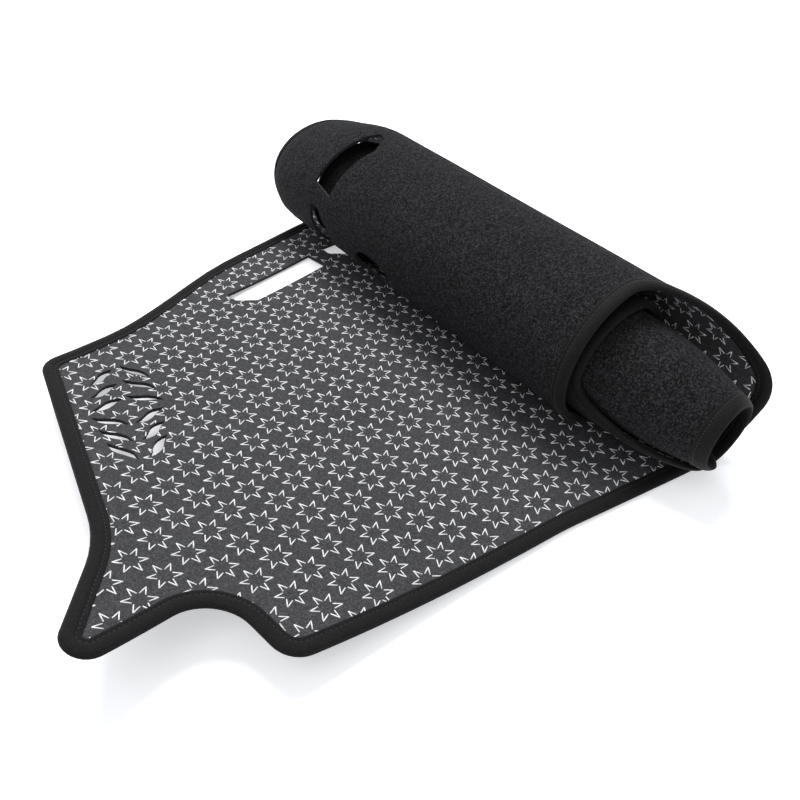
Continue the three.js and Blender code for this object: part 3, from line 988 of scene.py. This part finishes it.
@dataclass(frozen=True)
class Finish:
    """A cloth finish: dark and light colour of its speckle, and how it takes light."""

    name: str
    dark: Colour
    light: Colour
    scale: float
    relief: float
    roughness: float
    sheen: float
    seed: float
    sheen_roughness: float = 0.55

    def material(self, fibre: bpy.types.NodeTree) -> bpy.types.Material:
        """Makes the material.

        Args:
            fibre: The shared felt effect.

        Returns:
            The material.
        """
        material, n = start_material(self.name)
        fibres = n.add("ShaderNodeGroup", node_tree=fibre)
        fibres.inputs["Scale"].default_value = self.scale
        fibres.inputs["Strength"].default_value = self.relief
        fibres.inputs["Seed"].default_value = self.seed
        speckle, cloud = fibres.outputs["Speckle"], fibres.outputs["Cloud"]
        ends = {0: speckle, 6: (*self.dark, 1), 7: (*self.light, 1)}
        shade = n.add("ShaderNodeMix", ends, data_type="RGBA").outputs[2]
        amount = n.add("ShaderNodeMapRange", {"Value": cloud, "To Min": 0.86, "To Max": 1.14}).outputs[0]
        tone = n.add("ShaderNodeVectorMath", {0: shade, "Scale": amount}, operation="SCALE").outputs[0]
        shader = n.add("ShaderNodeBsdfPrincipled", {"Base Color": tone, "Normal": fibres.outputs["Normal"]})
        shader.inputs["Roughness"].default_value = self.roughness
        shader.inputs["Specular IOR Level"].default_value = 0.08
        shader.inputs["Sheen Weight"].default_value = self.sheen
        shader.inputs["Sheen Roughness"].default_value = self.sheen_roughness
        shader.inputs["Sheen Tint"].default_value = (0.9, 0.92, 1.0, 1)
        n.add("ShaderNodeOutputMaterial", {"Surface": shader.outputs[0]})
        return material


def tape_material(fibre: bpy.types.NodeTree) -> bpy.types.Material:
    """Makes the ribbed weave of the edge tape.

    Args:
        fibre: The shared felt effect.

    Returns:
        The material.
    """
    material, n = start_material("woven_tape")
    flat = n.add("ShaderNodeUVMap", uv_map="flat").outputs["UV"]
    ribs = {"Vector": flat, "Scale": 260.0, "Distortion": 0.8, "Detail": 1.0}
    wefts = {"Vector": flat, "Scale": 190.0, "Distortion": 0.6}
    rib = n.add("ShaderNodeTexWave", ribs, bands_direction="X").outputs["Fac"]
    weft = n.add("ShaderNodeTexWave", wefts, bands_direction="Y").outputs["Fac"]
    weave = n.add("ShaderNodeMath", {0: rib, 1: weft}, operation="MULTIPLY").outputs[0]
    fibres = n.add("ShaderNodeGroup", node_tree=fibre)
    fibres.inputs["Scale"].default_value = 1300.0
    fibres.inputs["Strength"].default_value = 0.35
    fibres.inputs["Seed"].default_value = 5.0
    speckled = {0: weave, 1: 0.45, 2: fibres.outputs["Speckle"]}
    mixed = n.add("ShaderNodeMath", speckled, operation="MULTIPLY_ADD").outputs[0]
    tone = n.add("ShaderNodeMapRange", {"Value": mixed, "From Max": 1.4}).outputs[0]
    ends = {0: tone, 6: (0.002, 0.002, 0.0022, 1), 7: (0.010, 0.010, 0.011, 1)}
    shade = n.add("ShaderNodeMix", ends, data_type="RGBA").outputs[2]
    relief = {"Height": weave, "Strength": 0.35, "Distance": 0.0004, "Normal": fibres.outputs["Normal"]}
    bump = n.add("ShaderNodeBump", relief).outputs["Normal"]
    shader = n.add("ShaderNodeBsdfPrincipled", {"Base Color": shade, "Normal": bump})
    shader.inputs["Roughness"].default_value = 0.8
    shader.inputs["Specular IOR Level"].default_value = 0.18
    shader.inputs["Sheen Weight"].default_value = 0.05
    shader.inputs["Sheen Roughness"].default_value = 0.4
    n.add("ShaderNodeOutputMaterial", {"Surface": shader.outputs[0]})
    return material


def plain_material(name: str, colour: Colour, roughness: float, change: float) -> bpy.types.Material:
    """Makes the print's or the thread's material, with a slight change of tone.

    Args:
        name: Name of the material.
        colour: Base colour.
        roughness: Roughness of the surface.
        change: How far the tone moves from place to place.

    Returns:
        The material.
    """
    material, n = start_material(name)
    place = n.add("ShaderNodeTexCoord").outputs["Object"]
    grain = n.add("ShaderNodeTexNoise", {"Vector": place, "Scale": 420.0, "Detail": 2.0}).outputs["Fac"]
    spread = {"Value": grain, "From Min": 0.3, "From Max": 0.7, "To Min": 1 - change, "To Max": 1 + change}
    amount = n.add("ShaderNodeMapRange", spread).outputs[0]
    tone = n.add("ShaderNodeVectorMath", {0: colour, "Scale": amount}, operation="SCALE").outputs[0]
    bump = n.add("ShaderNodeBump", {"Height": grain, "Strength": 0.3, "Distance": 0.0002})
    shader = n.add("ShaderNodeBsdfPrincipled", {"Base Color": tone, "Normal": bump.outputs["Normal"]})
    shader.inputs["Roughness"].default_value = roughness
    n.add("ShaderNodeOutputMaterial", {"Surface": shader.outputs[0]})
    return material


@dataclass(frozen=True)
class Lamp:
    """An area lamp."""

    name: str
    place: tuple[float, float, float]
    size: float
    power: float
    aim: tuple[float, float, float] = (0.0, 0.0, 0.05)

    def build(self) -> None:
        """Makes the lamp."""
        data = bpy.data.lights.new(self.name, "AREA")
        data.shape = "DISK"
        data.size = self.size
        data.energy = self.power
        lamp = bpy.data.objects.new(self.name, data)
        lamp.location = self.place
        lamp.rotation_euler = (Vector(self.aim) - Vector(self.place)).to_track_quat("-Z", "Y").to_euler()
        bpy.context.scene.collection.objects.link(lamp)


@dataclass(frozen=True)
class CameraSizes:
    """The photograph's camera, in the part's frame."""

    place: tuple[float, float, float] = (-0.28584, -0.43991, 0.4804)
    right: tuple[float, float, float] = (0.776, -0.6292, 0.0441)
    down: tuple[float, float, float] = (-0.3955, -0.5399, -0.7431)
    focal_px: float = 808.9
    image_px: float = 800.0
    sensor: float = 36.0

    def build(self) -> None:
        """Makes the camera."""
        data = bpy.data.cameras.new("camera")
        data.sensor_width = self.sensor
        data.sensor_fit = "HORIZONTAL"
        data.lens = self.focal_px / self.image_px * self.sensor
        data.clip_start = 0.01
        data.clip_end = 200.0
        camera = bpy.data.objects.new("camera", data)
        right = Vector(self.right).normalized()
        up = -Vector(self.down)
        up = (up - right * up.dot(right)).normalized()
        back = right.cross(up)
        turn = Matrix((right, up, back)).transposed().to_4x4()
        camera.matrix_world = Matrix.Translation(self.place) @ turn
        bpy.context.scene.collection.objects.link(camera)
        bpy.context.scene.camera = camera


@dataclass
class Studio:
    """White floor, plain soft light and the camera."""

    camera: CameraSizes
    lamps: list[Lamp]
    floor_half: float = 45.0

    def floor(self) -> None:
        """Makes the floor."""
        mesh = bpy.data.meshes.new("floor")
        h = self.floor_half
        mesh.from_pydata([(-h, -h, 0), (h, -h, 0), (h, h, 0), (-h, h, 0)], [], [(0, 1, 2, 3)])
        material = bpy.data.materials.new("floor")
        material.use_nodes = True
        shader = material.node_tree.nodes["Principled BSDF"]
        shader.inputs["Base Color"].default_value = (0.9, 0.905, 0.92, 1)
        shader.inputs["Roughness"].default_value = 0.9
        shader.inputs["Emission Color"].default_value = (1, 1, 1, 1)
        shader.inputs["Emission Strength"].default_value = 0.42
        mesh.materials.append(material)
        piece = bpy.data.objects.new("floor", mesh)
        bpy.context.scene.collection.objects.link(piece)

    def world(self) -> None:
        """Makes the surrounding light: soft for the object, white behind it."""
        world = bpy.data.worlds.new("studio")
        bpy.context.scene.world = world
        world.use_nodes = True
        n = Nodes(world.node_tree)
        n.tree.nodes.clear()
        soft = n.add("ShaderNodeBackground", {"Color": (0.94, 0.96, 1.0, 1), "Strength": 0.62})
        white = n.add("ShaderNodeBackground", {"Color": (1, 1, 1, 1), "Strength": 1.0})
        seen = n.add("ShaderNodeLightPath").outputs["Is Camera Ray"]
        mix = n.add("ShaderNodeMixShader", {0: seen, 1: soft.outputs[0], 2: white.outputs[0]})
        n.add("ShaderNodeOutputWorld", {"Surface": mix.outputs[0]})

    def build(self) -> None:
        """Makes everything round the object."""
        self.floor()
        self.world()
        for lamp in self.lamps:
            lamp.build()
        self.camera.build()
        view = bpy.context.scene.view_settings
        view.view_transform = "Standard"
        view.look = "None"
        view.exposure = 0.0
        view.gamma = 1.0


def build_mat() -> None:
    sheet, roll = SheetSizes(), RollSizes()
    bent = BentMat(sheet, roll)
    pattern = FlatPattern(sheet)
    fibre = fibre_group()
    felt = Finish(
        name="felt_face",
        dark=(0.0006, 0.0006, 0.0007),
        light=(0.040, 0.040, 0.042),
        scale=950.0,
        relief=1.0,
        roughness=0.95,
        sheen=0.02,
        seed=0.0,
    ).material(fibre)
    backing = Finish(
        name="grey_backing",
        dark=(0.024, 0.024, 0.025),
        light=(0.076, 0.076, 0.079),
        scale=1300.0,
        relief=0.3,
        roughness=0.8,
        sheen=0.08,
        seed=3.0,
    ).material(fibre)
    cut = Finish(
        name="cut_edge",
        dark=(0.006, 0.006, 0.007),
        light=(0.03, 0.03, 0.032),
        scale=1500.0,
        relief=0.6,
        roughness=0.95,
        sheen=0.1,
        seed=7.0,
    ).material(fibre)
    face = SheetBuilder(pattern, bent).build([felt, backing, cut])
    log.info("sheet: %d faces", len(face.data.polygons))
    tape_builder = TapeBuilder(pattern, bent)
    edge = tape_builder.build(tape_material(fibre))
    stitches = tape_builder.stitches(plain_material("thread", (0.014, 0.014, 0.015), 0.7, 0.3))
    grip = GripPrint(pattern, bent).build(plain_material("grip_ink", (0.72, 0.72, 0.72), 0.4, 0.25))
    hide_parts("mat_sheet")
    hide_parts("edge_binding")
    pattern.size()
    pattern.area()


def main() -> None:
    """Builds the scene."""
    logging.basicConfig(level=logging.INFO, format="%(name)s: %(message)s")
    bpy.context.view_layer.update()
    build_mat()
    Studio(
        CameraSizes(),
        [
            Lamp("top", (0.5, 0.7, 1.8), 1.2, 46.0),
            Lamp("front", (-1.2, -0.5, 2.0), 1.4, 9.0),
        ],
    ).build()


if __name__ == "__main__":
    main()
